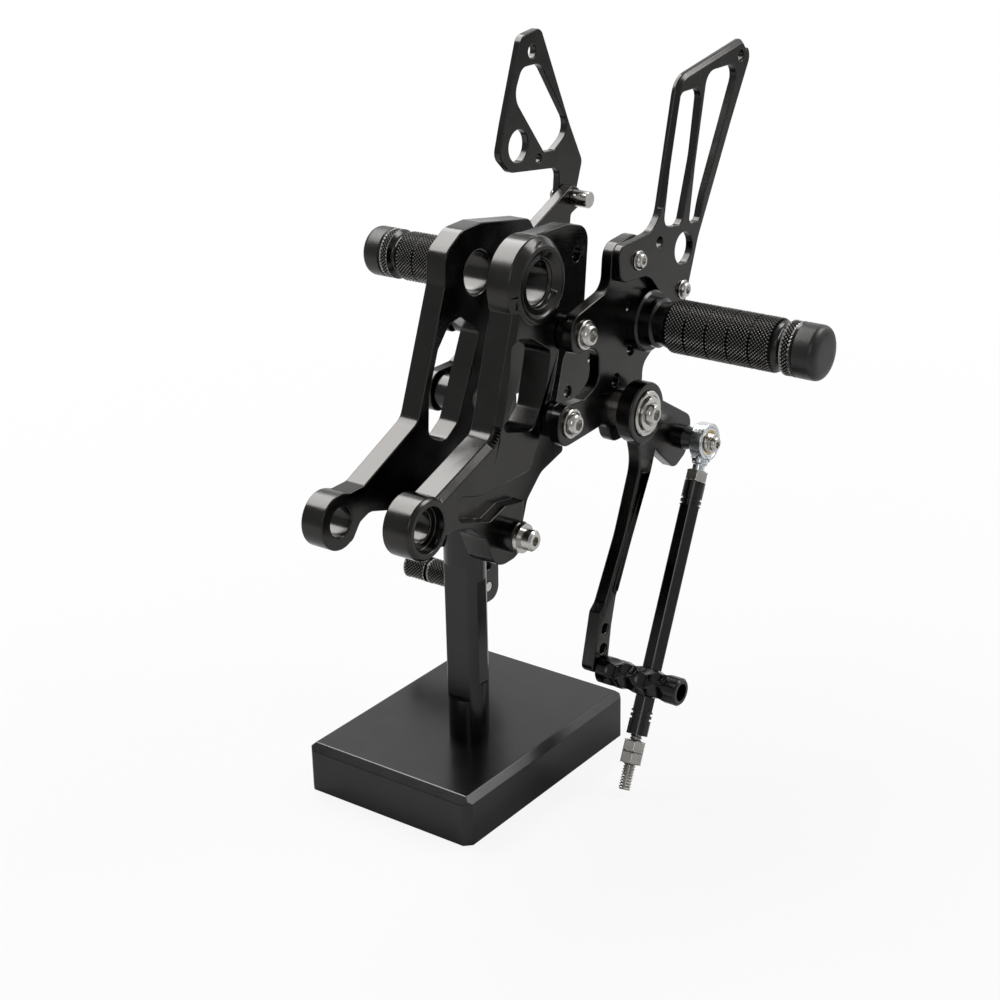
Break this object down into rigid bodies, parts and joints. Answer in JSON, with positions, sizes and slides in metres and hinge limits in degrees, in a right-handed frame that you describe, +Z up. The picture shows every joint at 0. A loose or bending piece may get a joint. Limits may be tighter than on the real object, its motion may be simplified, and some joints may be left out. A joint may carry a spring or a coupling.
{
  "type": "rear sets footrest",
  "caption": "Pair of machined motorcycle rear sets, with brackets, footpegs, foot levers, heel guards and a gear linkage rod, bolted back to back on a stand.",
  "frame": {"origin": "centre of the underside of the base plate", "axes": "+X outward through the right footpeg, +Y to the rear of the machine, +Z up"},
  "size_m": [0.268, 0.2747, 0.3436],
  "materials": {
    "anodised_black": "black anodised",
    "stand_black": "black satin",
    "bolt_steel": "satin stainless",
    "zinc_steel": "bright zinc",
    "race_brass": "plain brass"
  },
  "bodies": {
    "stand_and_brackets": {"base_plate": "stand_black", "post": "stand_black", "bracket_right": "anodised_black", "bracket_left": "anodised_black", "peg_plate_right": "anodised_black", "peg_plate_left": "anodised_black", "plate_spacers_right": "anodised_black", "plate_spacers_left": "anodised_black", "heel_guard_right": "anodised_black", "heel_guard_left": "anodised_black", "footpeg_right": "anodised_black", "footpeg_left": "anodised_black", "peg_collar_right": "anodised_black", "peg_collar_left": "anodised_black", "peg_cap_right": "anodised_black", "peg_cap_left": "anodised_black", "plate_bolts_right": "bolt_steel", "plate_bolts_left": "bolt_steel", "guard_bolts_right": "bolt_steel", "guard_bolts_left": "bolt_steel", "peg_bolt_right": "bolt_steel", "peg_bolt_left": "bolt_steel", "post_bolts": "bolt_steel", "shift_pivot_bolt": "bolt_steel", "brake_pivot_bolt": "bolt_steel"},
    "gear_lever": {"shift_lever": "anodised_black", "shift_bearing": "bolt_steel", "shift_toe_peg": "anodised_black", "shift_toe_bolt": "bolt_steel", "rod_ball": "bolt_steel", "rod_end_bolt": "bolt_steel", "rod_end_spacer": "bolt_steel"},
    "linkage": {"rod_end": "zinc_steel", "rod_race": "race_brass", "rod_upper_nut": "bolt_steel", "linkage_rod": "anodised_black", "rod_lower_nuts": "bolt_steel", "rod_stud": "bolt_steel"},
    "brake_pedal": {"brake_lever": "anodised_black", "brake_bearing": "bolt_steel", "brake_toe_peg": "anodised_black", "brake_toe_bolt": "bolt_steel"}
  },
  "joints": [
    {"name": "gear_lever_pivot", "type": "hinge", "parent": "stand_and_brackets", "child": "gear_lever", "pos_m": [0.0545, 0.0685, 0.175], "axis": [1, 0, 0], "range_deg": [-24, 0]},
    {"name": "linkage_swing", "type": "hinge", "parent": "gear_lever", "child": "linkage", "pos_m": [0.071, 0.103, 0.152], "axis": [1, 0, 0], "range_deg": [0, 61]},
    {"name": "brake_pedal_pivot", "type": "hinge", "parent": "stand_and_brackets", "child": "brake_pedal", "pos_m": [-0.0345, 0.0755, 0.183], "axis": [1, 0, 0], "range_deg": [-12, 0]}
  ]
}
